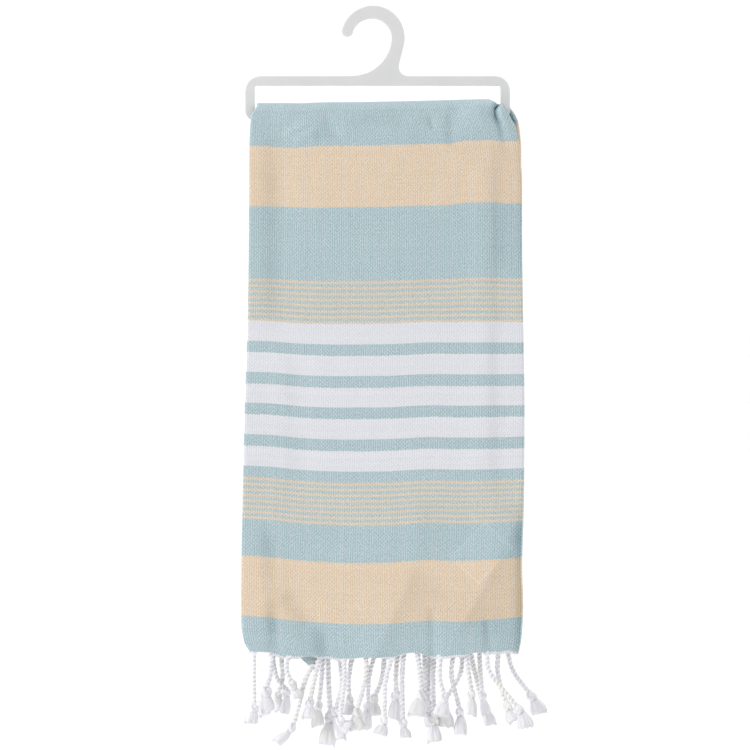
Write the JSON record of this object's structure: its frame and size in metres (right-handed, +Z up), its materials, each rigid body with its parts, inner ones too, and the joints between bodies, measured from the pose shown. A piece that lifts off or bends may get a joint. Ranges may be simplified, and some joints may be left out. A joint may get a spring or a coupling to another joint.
{
  "type": "kitchen towel on a hanger",
  "caption": "Striped kitchen towel with a knotted cord fringe, folded lengthwise and hung over the low bar of a flat plastic hanger with an open hook.",
  "frame": {"origin": "top of the inside of the hook, where a rail bears, in the middle of the plate's thickness", "axes": "+Z up, +X to the right seen from the front, the towel's front faces -Y"},
  "size_m": [0.1982, 0.0234, 0.4828],
  "materials": {
    "hanger_plastic": "milky moulded plastic, satin",
    "towel_cloth": "woven cotton, aqua with cream and white cross stripes",
    "fringe_cord": "twisted white cotton cord",
    "label_tape": "plain white label tape"
  },
  "bodies": {
    "root": {"hanger": "hanger_plastic", "towel": "towel_cloth", "fringe_front": "fringe_cord", "fringe_back": "fringe_cord", "care_label": "label_tape"}
  },
  "joints": []
}
